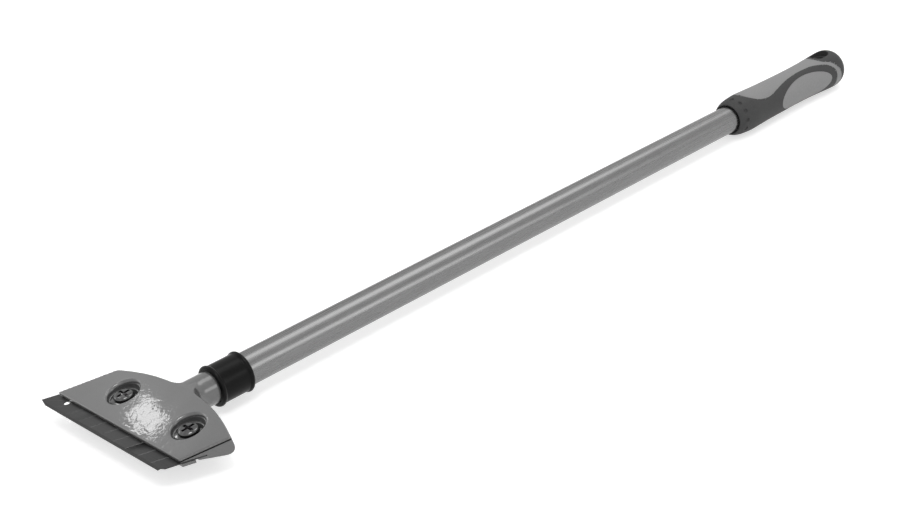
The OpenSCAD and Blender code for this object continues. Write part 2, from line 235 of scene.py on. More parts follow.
def finish_piece(piece, material, body, node, smooth_up_to=35.0):
    """Puts the place into the mesh, smooths it up to an angle and hands the piece over."""
    pick(piece)
    bpy.ops.object.transform_apply(location=True, rotation=True, scale=True)
    bpy.ops.object.shade_smooth_by_angle(angle=math.radians(smooth_up_to))
    piece.data.materials.clear()
    piece.data.materials.append(material)
    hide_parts(node)
    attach(piece, body)


def curve_through(points, per_span):
    """A smooth curve through all the points, ends included (Catmull-Rom)."""
    out = []
    for i in range(len(points) - 1):
        p0, p1 = points[max(i - 1, 0)], points[i]
        p2, p3 = points[i + 1], points[min(i + 2, len(points) - 1)]
        for k in range(per_span):
            t = k / per_span
            out.append(tuple(
                0.5 * (2 * b + (c - a) * t + (2 * a - 5 * b + 4 * c - d) * t * t
                       + (3 * b - a - 3 * c + d) * t ** 3)
                for a, b, c, d in zip(p0, p1, p2, p3)
            ))
    out.append(points[-1])
    return out


# Finishes
def linear(code):
    """An sRGB hex colour as the linear values that the shader takes."""
    parts = [int(code[i:i + 2], 16) / 255 for i in (1, 3, 5)]
    return tuple(c / 12.92 if c <= 0.04045 else ((c + 0.055) / 1.055) ** 2.4
                 for c in parts) + (1.0,)


def add(tree, kind, settings=None, links=None, stops=()):
    """One node with its settings, its inputs from (node, output) pairs and its colour stops."""
    node = tree.nodes.new(kind)
    for key, value in (settings or {}).items():
        if isinstance(key, int) or key in node.inputs.keys():
            node.inputs[key].default_value = value
        else:
            setattr(node, key, value)
    for key, (source, output) in (links or {}).items():
        tree.links.new(source.outputs[output], node.inputs[key])
    for i, (position, colour) in enumerate(stops):
        stop = node.color_ramp.elements[i] if i < 2 else node.color_ramp.elements.new(position)
        stop.position = position
        stop.color = linear(colour) if isinstance(colour, str) else (colour, colour, colour, 1.0)
    return node


def start_material(name):
    material = bpy.data.materials.new(name)
    material.use_nodes = True
    tree = material.node_tree
    tree.nodes.clear()
    return material, tree


def hammered_lacquer():
    """Hammer-finish lacquer, sprayed on a pressure die casting. It levels into soft dimples
    2 to 4 mm wide that break up every reflection, over a fine metallic speck."""
    material, tree = start_material("hammered_lacquer")
    place = add(tree, "ShaderNodeTexCoord")
    # Real flakes of some 0.05 mm are too fine to show, so the speck is drawn 0.2 mm wide,
    # 5000 to a metre.
    speck = add(tree, "ShaderNodeTexNoise", {"Scale": 5000.0, "Detail": 2.0},
                {"Vector": (place, "Object")})
    tone = add(tree, "ShaderNodeValToRGB", links={0: (speck, "Fac")},
               stops=[(0.3, "#525252"), (0.7, "#5c5c5c")])
    # The casting swells and sinks over some 15 mm, 65 to a metre; the lacquer's dimples are
    # 3 mm apart, 330 to a metre.
    swell = add(tree, "ShaderNodeTexNoise", {"Scale": 65.0, "Detail": 1.0},
                {"Vector": (place, "Object")})
    dimples = add(tree, "ShaderNodeTexNoise", {"Scale": 330.0, "Detail": 1.0, "Distortion": 1.2},
                  {"Vector": (place, "Object")})
    casting = add(tree, "ShaderNodeBump", {"Strength": 0.2, "Distance": 0.0012},
                  {"Height": (swell, "Fac")})
    film = add(tree, "ShaderNodeBump", {"Strength": 0.17, "Distance": 0.0003},
               {"Height": (dimples, "Fac"), "Normal": (casting, "Normal")})
    main = add(tree, "ShaderNodeBsdfPrincipled", {
        "Metallic": 0.5, "Roughness": 0.38, "Coat Weight": 1.0, "Coat Roughness": 0.07,
    }, {"Base Color": (tone, "Color"), "Normal": (casting, "Normal"),
        "Coat Normal": (film, "Normal")})
    add(tree, "ShaderNodeOutputMaterial", links={"Surface": (main, "BSDF")})
    return material


def ground_blade_steel():
    """Hardened carbon steel strip, ground and oiled: dark and half dull, with faint streaks
    that run with the edge."""
    material, tree = start_material("ground_blade_steel")
    place = add(tree, "ShaderNodeTexCoord")
    # Grinding lines of some 0.05 mm are too fine to show, so the streaks are drawn 0.3 mm
    # wide across the strip (3000 to a metre) and 17 mm long (60 to a metre).
    stretch = add(tree, "ShaderNodeMapping", {"Scale": (3000.0, 60.0, 900.0)},
                  {"Vector": (place, "Object")})
    streak = add(tree, "ShaderNodeTexNoise", {"Scale": 1.0, "Detail": 3.0},
                 {"Vector": (stretch, 0)})
    tone = add(tree, "ShaderNodeValToRGB", links={0: (streak, "Fac")},
               stops=[(0.25, "#393939"), (0.75, "#494949")])
    rough = add(tree, "ShaderNodeValToRGB", links={0: (streak, "Fac")},
                stops=[(0.3, 0.3), (0.7, 0.46)])
    main = add(tree, "ShaderNodeBsdfPrincipled", {"Metallic": 1.0},
               {"Base Color": (tone, "Color"), "Roughness": (rough, "Color")})
    add(tree, "ShaderNodeOutputMaterial", links={"Surface": (main, "BSDF")})
    return material


def bright_plated_steel():
    """Zinc-plated and passivated steel, barrel plated: a smoky mirror with slight waves."""
    material, tree = start_material("bright_plated_steel")
    place = add(tree, "ShaderNodeTexCoord")
    # Waves from forging and tumbling are some 2 mm long, 500 to a metre.
    wave = add(tree, "ShaderNodeTexNoise", {"Scale": 500.0, "Detail": 2.0},
               {"Vector": (place, "Object")})
    tone = add(tree, "ShaderNodeValToRGB", links={0: (wave, "Fac")},
               stops=[(0.3, "#4c4c4c"), (0.7, "#646464")])
    bump = add(tree, "ShaderNodeBump", {"Strength": 0.25, "Distance": 0.0001},
               {"Height": (wave, "Fac")})
    main = add(tree, "ShaderNodeBsdfPrincipled", {"Metallic": 1.0, "Roughness": 0.09},
               {"Base Color": (tone, "Color"), "Normal": (bump, "Normal")})
    add(tree, "ShaderNodeOutputMaterial", links={"Surface": (main, "BSDF")})
    return material


def brushed_lacquered_aluminium():
    """Drawn aluminium tube, brushed and lacquered: long soft bands of light with a fine
    grain along the tube."""
    material, tree = start_material("brushed_lacquered_aluminium")
    place = add(tree, "ShaderNodeTexCoord")
    # Brush lines of some 0.1 mm are too fine to show, so the grain is drawn 0.7 mm wide
    # (1400 to a metre) and 11 mm long (90 to a metre).
    stretch = add(tree, "ShaderNodeMapping", {"Scale": (90.0, 1400.0, 1400.0)},
                  {"Vector": (place, "Object")})
    grain = add(tree, "ShaderNodeTexNoise", {"Scale": 1.0, "Detail": 4.0}, {"Vector": (stretch, 0)})
    tone = add(tree, "ShaderNodeValToRGB", links={0: (grain, "Fac")},
               stops=[(0.2, "#747474"), (0.8, "#7d7d7d")])
    rough = add(tree, "ShaderNodeValToRGB", links={0: (grain, "Fac")},
                stops=[(0.25, 0.24), (0.75, 0.31)])
    bump = add(tree, "ShaderNodeBump", {"Strength": 0.12, "Distance": 0.00005},
               {"Height": (grain, "Fac")})
    main = add(tree, "ShaderNodeBsdfPrincipled", {"Metallic": 0.9},
               {"Base Color": (tone, "Color"), "Roughness": (rough, "Color"),
                "Normal": (bump, "Normal")})
    add(tree, "ShaderNodeOutputMaterial", links={"Surface": (main, "BSDF")})
    return material


def moulded(name, dark, light, roughness, gloss, grain_per_metre, depth):
    """Moulded plastic or rubber, whose fine grain from the tool scatters the light."""
    material, tree = start_material(name)
    place = add(tree, "ShaderNodeTexCoord")
    grain = add(tree, "ShaderNodeTexNoise", {"Scale": grain_per_metre, "Detail": 3.0},
                {"Vector": (place, "Object")})
    tone = add(tree, "ShaderNodeValToRGB", links={0: (grain, "Fac")},
               stops=[(0.3, dark), (0.7, light)])
    bump = add(tree, "ShaderNodeBump", {"Strength": 0.3, "Distance": depth},
               {"Height": (grain, "Fac")})
    main = add(tree, "ShaderNodeBsdfPrincipled", {
        "Roughness": roughness, "IOR": 1.5, "Specular IOR Level": gloss,
    }, {"Base Color": (tone, "Color"), "Normal": (bump, "Normal")})
    add(tree, "ShaderNodeOutputMaterial", links={"Surface": (main, "BSDF")})
    return material


LACQUER = hammered_lacquer()
BLADE_STEEL = ground_blade_steel()
PLATING = bright_plated_steel()
ALUMINIUM = brushed_lacquered_aluminium()
# Soft PVC dipped on a polished former: near black, smooth, with one low sheen. Its waves
# are 1.4 mm apart, 700 to a metre.
COLLAR_PVC = moulded("dipped_black_pvc", "#0b0b0b", "#101010", 0.3, 0.1, 700.0, 0.00005)
# Thermoplastic rubber and polypropylene from spark-eroded tools: a dry, even matt. Spark
# pits of some 0.1 mm are too fine to show, so both are drawn 0.8 mm apart, 1200 to a metre.
GRIP_RUBBER = moulded("moulded_dark_tpr", "#343434", "#3b3b3b", 0.62, 0.3, 1200.0, 0.00012)
GRIP_PLASTIC = moulded("moulded_grey_polypropylene", "#7b7b7b", "#828282", 0.5, 0.35,
                       1200.0, 0.00008)

# Head

# The top face, seen square to it: a straight front edge, two side edges that both lean to
# the right towards the rear, and one wide arc behind.
HEAD_LEFT, HEAD_RIGHT = 57.5, -41.5
SLANT_LEFT, SLANT_RIGHT = math.radians(32.6), math.radians(27)
REAR_R = 121.5
REAR_CENTRE = 32.2 - REAR_R
REAR_STEPS = 48
# A point this close to the rear curve counts as on it.
REAR_NEAR = 2.2
BLOCK_DEPTH = 30
BOTTOM_TILT = math.radians(6.6)
# The front wall stands this far behind the cutting edge, and the underside starts this low.
WALL_FRONT, WALL_DROP = 15.3, 2.14
# The face ends in a thin rim that stands out over the side walls.
RIM, RIM_OVERHANG = 0.7, 0.5
GROOVE_BACK, GROOVE_DROP, GROOVE_END = 2.6, 1.1, 22
# Roundings: the rear wall's lower and upper edges, and the rest of the face's edge
ROUND_LOW, ROUND_HIGH, ROUND_FACE = 5.0, 0.8, 0.5
# Cutters reach this far past what they cut, and this far out to the sides.
FAR, WIDE = 40, 90
NECK_FRONT, NECK_END = 29, 58
NECK_R = 7.95
NECK_TOP = 7.97
# The neck runs out into the head in a tight hollow on the left and a wide one on the right:
# each has its radius and the place where it ends.
FLARES = (("neck", 2.2, 41.5), ("neck_right", 8.5, 46.8))
# The wide hollow is kept to the right of this line. Both are cut off below along a slope
# through two (x, z) places.
RIGHT_HOLLOW_Y = -3
SLOPE_FRONT, SLOPE_BACK = (20, 1.2), (56, -11.8)


def left_edge(u, inset=0.0):
    return HEAD_LEFT - u * math.tan(SLANT_LEFT) - inset / math.cos(SLANT_LEFT)


def right_edge(u, inset=0.0):
    return HEAD_RIGHT - u * math.tan(SLANT_RIGHT) + inset / math.cos(SLANT_RIGHT)


def rear_corner(edge):
    """Angle on the rear curve where a side edge meets it."""
    low, high = 0.0, math.radians(40 if edge(0) > 0 else -40)
    for _ in range(40):
        middle = (low + high) / 2
        u = REAR_CENTRE + REAR_R * math.cos(middle)
        inside = abs(REAR_R * math.sin(middle)) < abs(edge(u))
        low, high = (middle, high) if inside else (low, middle)
    return low


turn_right, turn_left = rear_corner(right_edge), rear_corner(left_edge)
rear_curve = [turn_right + (turn_left - turn_right) * i / REAR_STEPS for i in range(REAR_STEPS + 1)]
plan = [(0, HEAD_LEFT), (0, HEAD_RIGHT)] + [
    (REAR_CENTRE + REAR_R * math.cos(a), REAR_R * math.sin(a)) for a in rear_curve
]
head = block("head", [on_face(u, v, 0) for u, v in plan], FACE_UP * -BLOCK_DEPTH)
BOTTOM_DOWN = Vector((-math.sin(BOTTOM_TILT), 0, -math.cos(BOTTOM_TILT)))
BOTTOM_PLACE = from_edge(WALL_FRONT, 0, -WALL_DROP)
slice_off(head, BOTTOM_PLACE, BOTTOM_DOWN)


def on_top(*ends):
    return all(abs((co - on_face(0, 0, 0)).dot(FACE_UP)) < 1e-5 for co in ends)


def on_bottom(*ends):
    return all(abs((co - BOTTOM_PLACE).dot(BOTTOM_DOWN)) < 1e-5 for co in ends)


def at_rear(*ends):
    """On or next to the rear curve, seen square to the top face."""
    from_middle = [co - on_face(REAR_CENTRE, 0, 0) for co in ends]
    return all(math.hypot(way.dot(Vector((FACE_C, 0, FACE_S))), way.y) * 1000 > REAR_R - REAR_NEAR
               for way in from_middle)


round_edges(head, lambda a, b: at_rear(a, b) and on_bottom(a, b), ROUND_LOW, 8)
round_edges(head, lambda a, b: at_rear(a, b) and on_top(a, b), ROUND_HIGH, 3)
round_edges(head, lambda a, b: on_top(a, b) and not (at_rear(a) and at_rear(b)), ROUND_FACE, 2)

# The neck's top is level with the face; its underside slopes into the head's.
for name, flare, end in FLARES:
    hollow = [(end - flare * math.cos(t), NECK_R + flare - flare * math.sin(t))
              for t in (math.radians(90 * i / 12) for i in range(13))]
    neck = turn_on_lathe(name, [(NECK_FRONT, 0), (NECK_FRONT, NECK_R + flare)] + hollow
                         + [(NECK_END, NECK_R), (NECK_END, 0)])
    cut(neck, block("over_face", [
        on_face(u, v, 0) for u, v in ((-20, -FAR), (60, -FAR), (60, FAR), (-20, FAR))
    ], FACE_UP * FAR))
    cut(neck, block("over_neck", [
        from_edge(x, y, NECK_TOP) for x, y in ((20, -FAR), (70, -FAR), (70, FAR), (20, FAR))
    ], (0, 0, FAR)))
    cut(neck, block("under_flare", [
        from_edge(x, y, z) for (x, z), y in
        ((SLOPE_FRONT, -FAR), (SLOPE_FRONT, FAR), (SLOPE_BACK, FAR), (SLOPE_BACK, -FAR))
    ], (0, 0, -FAR)))
    if name == "neck_right":
        cut(neck, block("left_half", [
            from_edge(x, RIGHT_HOLLOW_Y, z) for x, z in ((20, -30), (70, -30), (70, 30), (20, 30))
        ], (0, FAR, 0)))
    cut(head, neck, "UNION")
VOXEL_METRES = 0.00042
apply_modifier(head, "REMESH", mode="VOXEL", voxel_size=VOXEL_METRES, use_smooth_shade=True)


def ease(value, low, high):
    t = min(max((value - low) / (high - low), 0.0), 1.0)
    return t * t * (3 - 2 * t)


# Cast corners are soft, most of all where the neck grows out of the head. Going back, the
# softening comes in over one stretch and fades over another, and it fades to the sides.
SOFT_COMES, SOFT_FADES, SOFT_SIDES = (31, 36), (48, 53), (13, 21)
blend = head.vertex_groups.new(name="neck_blend")
for vertex in head.data.vertices:
    x = vertex.co.x * 1000 - EDGE_X
    near = (ease(x, *SOFT_COMES) * (1 - ease(x, *SOFT_FADES))
            * (1 - ease(abs(vertex.co.y) * 1000, *SOFT_SIDES)))
    if near > 0:
        blend.add([vertex.index], near, "REPLACE")
apply_modifier(head, "SMOOTH", factor=0.5, iterations=4)
apply_modifier(head, "SMOOTH", factor=0.5, iterations=24, vertex_group="neck_blend")
head.vertex_groups.clear()

# The side walls stand back under the rim, with a groove right below it.
for edge, far_y in ((left_edge, WIDE), (right_edge, -WIDE)):
    for name, length, back, drop in (("undercut", FAR, RIM_OVERHANG, BLOCK_DEPTH),
                                     ("groove", GROOVE_END, GROOVE_BACK, GROOVE_DROP)):
        outline = [(-20, edge(-20, back)), (length, edge(length, back)),
                   (length, far_y), (-20, far_y)]
        cut(head, block(name, [on_face(u, v, -RIM) for u, v in outline], FACE_UP * -drop))

# Recesses for the screws: a rounded rim on the slope, then a bowl square to the blade with a
# flat floor for the washer, and the hole for the shank
WASHER_Z = 1.65
SHANK_HOLE_R = 2.5
for x, y in SCREW_SPOTS:
    at_face = on_face((x - FACE_FRONT_X) / math.cos(FACE_TILT - BLADE_TILT), y, 0)
    cut(head, turn_on_lathe("dish", [
        (-1.7, 0), (-1.7, 7.75), (-1.2, 7.82), (-0.7, 8.0), (-0.35, 8.25), (-0.1, 8.6),
        (0.02, 9.0), (0.08, 9.6), (0.1, 12), (6, 12), (6, 0),
    ], centre=at_face, axis=FACE_UP, side=(0, 1, 0)))
    cut(head, turn_on_lathe("bowl", [
        (WASHER_Z, 0), (WASHER_Z, 6.7), (WASHER_Z + 0.15, 7.05), (WASHER_Z + 0.5, 7.35),
        (WASHER_Z + 1.2, 7.6), (WASHER_Z + 2.2, 7.75), (14, 7.85), (14, 0),
    ], centre=on_blade(x, y, 0), axis=BLADE_UP, side=(0, 1, 0)))
    cut(head, turn_on_lathe("shank_hole", [
        (-30, 0), (-30, SHANK_HOLE_R), (20, SHANK_HOLE_R), (20, 0),
    ], steps=48, centre=on_blade(x, y, 0), axis=BLADE_UP, side=(0, 1, 0)))

# Open front under the blade's seat, the blade's slit and the pocket for the clamp plate
SEAT_Z = 0.55
BLADE_SLANT = math.tan(math.radians(26))
cut(head, block("front_room", [
    on_blade(x, y, SEAT_Z) for x, y in
    ((-FAR, -WIDE), (WALL_FRONT, -WIDE), (WALL_FRONT, WIDE), (-FAR, WIDE))
], BLADE_UP * -FAR))
SLIT_RIGHT, SLIT_BACK, SLIT_HEIGHT = -37.6, 18.5, 0.6
slit = [(0, SLIT_RIGHT), (SLIT_BACK, SLIT_RIGHT - SLIT_BACK * BLADE_SLANT),
        (SLIT_BACK, WIDE), (0, WIDE)]
cut(head, block("slit", [on_blade(x, y, SEAT_Z) for x, y in slit], BLADE_UP * -SLIT_HEIGHT))
POCKET_FRONT, POCKET_BACK, POCKET_WALL, POCKET_ROOF = 12.3, 31.4, 3.0, 0.05
pocket = [(x, edge(x - FACE_FRONT_X, POCKET_WALL)) for x, edge in (
    (POCKET_FRONT, left_edge), (POCKET_FRONT, right_edge),
    (POCKET_BACK, right_edge), (POCKET_BACK, left_edge))]
cut(head, block("pocket", [on_blade(x, y, POCKET_ROOF) for x, y in pocket], BLADE_UP * -FAR))

# The spigot that goes into the tube, and the hole for the cross pin
SPIGOT_END, SPIGOT_R = 94, 7.1
cut(head, turn_on_lathe("spigot", [
    (NECK_END - 2, 0), (NECK_END - 2, 7.0), (NECK_END - 1, SPIGOT_R),
    (SPIGOT_END - 0.5, SPIGOT_R), (SPIGOT_END, SPIGOT_R - 0.5), (SPIGOT_END, 0),
]), "UNION")
PIN_X, PIN_HOLE_R = 63, 1.55
cut(head, turn_on_lathe("pin_hole", [
    (-20, 0), (-20, PIN_HOLE_R), (20, PIN_HOLE_R), (20, 0),
], steps=48, centre=from_edge(PIN_X, 0, 0), axis=(0, 1, 0)))
finish_piece(head, LACQUER, "handle", "head_casting", smooth_up_to=40)

# Clamp plate, blade, screws
plate = copy_of_solid("clamp_plate", "clamping_plate", bevel=0.25)
finish_piece(plate, LACQUER, "clamp", "clamp_plate")

strip = copy_of_solid("blade", "strip_blade")
# The strip's own hole is a little smaller and further forward than the solid's.
BLADE_TOP = 0.5
SOLID_HOLE, SOLID_HOLE_R = (7.2, 48.7), 1.95
HOLE, HOLE_R = (6.7, 48.2), 1.55
cut(strip, turn_on_lathe("hole_fill", [
    (0, 0), (0, SOLID_HOLE_R), (BLADE_TOP, SOLID_HOLE_R), (BLADE_TOP, 0),
], steps=48, centre=on_blade(*SOLID_HOLE, 0), axis=BLADE_UP, side=(0, 1, 0)), "UNION")
cut(strip, turn_on_lathe("hole", [(-3, 0), (-3, HOLE_R), (3, HOLE_R), (3, 0)], steps=48,
                         centre=on_blade(*HOLE, 0), axis=BLADE_UP, side=(0, 1, 0)))
# Scores along which the strip is broken off, slanted like its ends; one is drawn and moved on.
SCORES, SCORE_PITCH = 9, 9.8
SCORE_WIDE, SCORE_DEEP = 0.4, 0.09
FIRST_SCORE = -28.5 + BLADE_SLANT
score = block("score", [
    on_blade(-1, FIRST_SCORE - SCORE_WIDE / 2, BLADE_TOP + 0.03),
    on_blade(-1, FIRST_SCORE + SCORE_WIDE / 2, BLADE_TOP + 0.03),
    on_blade(-1, FIRST_SCORE, BLADE_TOP - SCORE_DEEP),
], (on_blade(21, -21 * BLADE_SLANT, 0) - on_blade(0, 0, 0)) * 1000)
for _ in range(SCORES):
    cut(strip, score, keep=True)
    pick(score)
    bpy.ops.transform.translate(value=(0, SCORE_PITCH / 1000, 0))
bpy.data.objects.remove(score)
finish_piece(strip, BLADE_STEEL, "blade_strip", "blade", smooth_up_to=8)

# The screws' heads have a fuller edge and a wider cross than the solids.
SCREW_TOP, SCREW_HEAD_R, SCREW_ROUND = 4.3, 4.92, 1.4
ARM_LENGTH, ARM_WIDTH, CROSS_DEPTH = 6.6, 1.5, 1.5
for side, (x, y) in zip(("left", "right"), SCREW_SPOTS):
    screw = copy_of_solid("clamp_screw_" + side, "screw_" + side)
    round_edge = [(SCREW_TOP - SCREW_ROUND * (1 - math.sin(t)),
                   SCREW_HEAD_R - SCREW_ROUND * (1 - math.cos(t)))
                  for t in (math.radians(90 * i / 8) for i in range(9))]
    cut(screw, turn_on_lathe("edge_ring", [
        (SCREW_TOP + 1, SCREW_HEAD_R + 1), (SCREW_TOP - SCREW_ROUND, SCREW_HEAD_R + 1),
    ] + round_edge + [
        (SCREW_TOP + 1, SCREW_HEAD_R - SCREW_ROUND), (SCREW_TOP + 1, SCREW_HEAD_R + 1),
    ], steps=64, centre=on_blade(x, y, 0), axis=BLADE_UP, side=(0, 1, 0)))
    for p, q in ((ARM_LENGTH / 2, ARM_WIDTH / 2), (ARM_WIDTH / 2, ARM_LENGTH / 2)):
        cut(screw, block("arm", [
            on_blade(x + i * p, y + j * q, SCREW_TOP - CROSS_DEPTH)
            for i, j in ((-1, -1), (1, -1), (1, 1), (-1, 1))
        ], BLADE_UP * 3))
    finish_piece(screw, PLATING, "screw_" + side, "clamp_screw_" + side)

rings = copy_of_solid("washers", "screw_washers", bevel=0.15)
finish_piece(rings, PLATING, "handle", "washers")

pin = copy_of_solid("tube_pin", "cross_pin", bevel=0.1)
finish_piece(pin, PLATING, "handle", "tube_pin")

# Tube and collar
TUBE_FRONT, TUBE_BACK = 58.0, 499.0
TUBE_R, TUBE_BORE = 8.15, 7.2
# The tube's sharp edges are taken off by 0.15 mm outside and 0.2 mm inside.
tube = turn_on_lathe("tube", [
    (TUBE_FRONT, TUBE_BORE + 0.2), (TUBE_FRONT, TUBE_R - 0.15), (TUBE_FRONT + 0.15, TUBE_R),
    (TUBE_BACK - 0.15, TUBE_R), (TUBE_BACK, TUBE_R - 0.15), (TUBE_BACK, TUBE_BORE + 0.2),
    (TUBE_BACK - 0.1, TUBE_BORE), (TUBE_FRONT + 0.1, TUBE_BORE), (TUBE_FRONT, TUBE_BORE + 0.2),
], steps=128)
finish_piece(tube, ALUMINIUM, "handle", "handle_tube")

# A sleeve with a round bead at each end
COLLAR_BORE = 8.2
collar = turn_on_lathe("collar_sleeve", [(53.3, COLLAR_BORE)] + curve_through([
    (53.3, 8.9), (53.4, 9.5), (53.8, 9.95), (54.4, 10.12), (55.0, 9.97), (55.45, 9.65),
    (55.9, 9.5), (57.5, 9.45), (62.0, 9.45), (67.0, 9.45), (68.7, 9.5), (69.15, 9.68),
    (69.6, 10.0), (70.2, 10.15), (70.8, 10.0), (71.25, 9.55), (71.4, 8.9),
], 3) + [(71.4, COLLAR_BORE), (53.3, COLLAR_BORE)])
finish_piece(collar, COLLAR_PVC, "handle", "collar", smooth_up_to=50)

# Grip

# The grip is one turned form. A core, a soft skin, an end cap and two side inlays share it
# out along lines drawn in the side view.
GRIP_FRONT = 440.3
GRIP_OUTLINE = curve_through([
    (GRIP_FRONT, 9.5), (440.7, 9.75), (442, 10.35), (444, 11.0), (446.8, 11.5), (450.6, 11.85),
    (456, 12.1), (462, 11.9), (468, 11.7), (475, 11.5), (487, 11.35), (500, 11.22),
    (512, 11.28), (522, 11.47), (532, 11.87), (540, 12.2), (545, 12.33), (548, 12.08),
    (550.5, 11.1), (552.5, 9.3), (554.3, 6.6), (555.5, 3.5), (556, 0.0),
], 5)
# The skin is this thick, its lip closes the core's front, and a fine seam stays open.
# Each edge is a line in the side view that runs past the outline at both ends.
SKIN, LIP, SEAM = 1.4, 3.0, 0.04
SKIN_EDGE = [
    (452.5, 14.2), (452.5, 11.7), (455.5, 10.1), (460.4, 8.15), (464.8, 7.2), (470, 6.7),
    (474.3, 7.05), (480.9, 8.1), (488, 9.1), (495.3, 9.75), (506.5, 10.2), (513, 10.2),
    (520.6, 10.1), (526, 9.5), (530.6, 8.75), (534.6, 7.5), (538.4, 4.95), (540.3, 2.0),
    (541, -2.4), (541.5, -8.4), (541.5, -14.2),
]
CAP_EDGE = [
    (525, 14.2), (529, 11.6), (532, 10), (535.5, 9.0), (538.5, 7.9), (541.1, 5.8), (543.2, 3.4),
    (544.6, 1.0), (546.1, -3.2), (546.8, -7.1), (547, -14.2),
]
OVAL_MIDDLE, OVAL_HALF = (508.5, -1.1), (26.7, 9.15)
# Hanging hole: a round bore whose two mouths are wider and oblong
BORE_R, MOUTH_R, MOUTH_HALF, MOUTH_FLOOR, LINING = 4.2, 4.7, 2.4, 8.9, 0.9
MARKS, MARK_X = 12, 445.6


def shrunk(outline, d):
    """The same outline, d further in, along its own normal."""
    out = []
    for i, (x, r) in enumerate(outline):
        x0, r0 = outline[max(i - 1, 0)]
        x1, r1 = outline[min(i + 1, len(outline) - 1)]
        length = math.hypot(x1 - x0, r1 - r0)
        out.append((x + d * (r1 - r0) / length, max(r - d * (x1 - x0) / length, 0.0)))
    return [p for i, p in enumerate(out) if i == 0 or p[0] > out[i - 1][0] - 0.5]


def slab(name, outline):
    """A side-view outline, pushed right through the grip."""
    return block(name, [from_edge(x, -20, z) for x, z in outline], (0, 40, 0))


def oval_slab(name, gap):
    turns = [2 * math.pi * i / 96 for i in range(96)]
    return slab(name, [(OVAL_MIDDLE[0] + (OVAL_HALF[0] + gap) * math.cos(a),
                        OVAL_MIDDLE[1] + (OVAL_HALF[1] + gap) * math.sin(a)) for a in turns])


def hang_slot(name, half_length, radius, low, high):
    """Rounded slot through the grip's end: a cylinder whose rear half is pulled back."""
    deselect()
    bpy.ops.mesh.primitive_cylinder_add(
        vertices=64, radius=radius / 1000, depth=(high - low) / 1000,
        location=(-half_length / 1000, 0, (high + low) / 2000),
    )
    piece = bpy.context.object
    piece.name = name
    bpy.ops.object.transform_apply(location=True, rotation=True, scale=True)
    if half_length:
        bpy.ops.object.mode_set(mode="EDIT")
        bpy.ops.mesh.select_all(action="SELECT")
        bpy.ops.mesh.bisect(plane_co=(-half_length / 1000, 0, 0), plane_no=(1, 0, 0))
        bpy.ops.mesh.select_all(action="DESELECT")
        mesh = bmesh.from_edit_mesh(piece.data)
        for vertex in mesh.verts:
            vertex.select_set(vertex.co.x > -half_length / 1000 + 1e-6)
        bmesh.update_edit_mesh(piece.data)
        bpy.ops.transform.translate(value=(2 * half_length / 1000, 0, 0))
        bpy.ops.object.mode_set(mode="OBJECT")
    close_seams(piece)
    return piece


BEFORE_GRIP, BEHIND_GRIP, OVER_GRIP = 430, 560, 14.2
skin_zone = slab("skin_zone", [SKIN_EDGE[0]] + curve_through(SKIN_EDGE[1:-1], 4)
                 + [SKIN_EDGE[-1], (BEFORE_GRIP, -OVER_GRIP), (BEFORE_GRIP, OVER_GRIP)])
cap_zone = slab("cap_zone", [CAP_EDGE[0]] + curve_through(CAP_EDGE[1:-1], 4)
                + [CAP_EDGE[-1], (BEHIND_GRIP, -OVER_GRIP), (BEHIND_GRIP, OVER_GRIP)])
oval_zone, oval_room = oval_slab("oval_zone", 0.0), oval_slab("oval_room", SEAM)

blank = turn_on_lathe("grip_blank", [(GRIP_FRONT, 0.0)] + GRIP_OUTLINE, steps=128)
inside = [(x, r) for x, r in shrunk(GRIP_OUTLINE, SKIN) if x > GRIP_FRONT + LIP]
inner = turn_on_lathe("grip_inner", [(GRIP_FRONT + LIP, 0.0), (GRIP_FRONT + LIP, inside[0][1])]
                      + inside[1:-1] + [(554.6, 0.0)], steps=128)
# The tube fits with 0.05 mm to spare; the sleeve's mouth is 9 mm in radius and 1.9 mm deep.
tube_room = turn_on_lathe("tube_room", [
    (BEFORE_GRIP, 0.0), (BEFORE_GRIP, 8.2), (TUBE_BACK + 0.1, 8.2), (TUBE_BACK + 0.1, 0.0),
])
mouth_room = turn_on_lathe("mouth_room", [
    (BEFORE_GRIP, 0.0), (BEFORE_GRIP, 9.0), (442.2, 9.0), (442.2, 0.0),
])
lining = hang_slot("lining", MOUTH_HALF, MOUTH_R + LINING, -20, 20)
mouths = (hang_slot("bore", 0.0, BORE_R, -20, 20),
          hang_slot("mouth_top", MOUTH_HALF, MOUTH_R, MOUTH_FLOOR, 20),
          hang_slot("mouth_bottom", MOUTH_HALF, MOUTH_R, -20, -MOUTH_FLOOR))

skin = twin(blank, "grip_skin")
cut(skin, inner, keep=True)
cap = twin(skin, "end_cap")
inlay = twin(skin, "inlay_right")
cut(skin, skin_zone, "INTERSECT", keep=True)
cut(skin, oval_room, keep=True)
cut(skin, mouth_room, keep=True)
# A ring of small sunken marks round the sleeve's mouth; one is drawn and turned on.
mark = turn_on_lathe("mark", [
    (10.55, 0), (10.6, 0.8), (10.8, 1.15), (11.4, 1.4), (14, 1.5), (14, 0),
], steps=24, centre=from_edge(MARK_X, 0, 0), axis=(0, 0, 1), side=(1, 0, 0))
for _ in range(MARKS):
    cut(skin, mark, keep=True)
    pick(mark)
    bpy.ops.transform.rotate(value=2 * math.pi / MARKS, orient_axis="X",
                             center_override=from_edge(MARK_X, 0, 0))
bpy.data.objects.remove(mark)

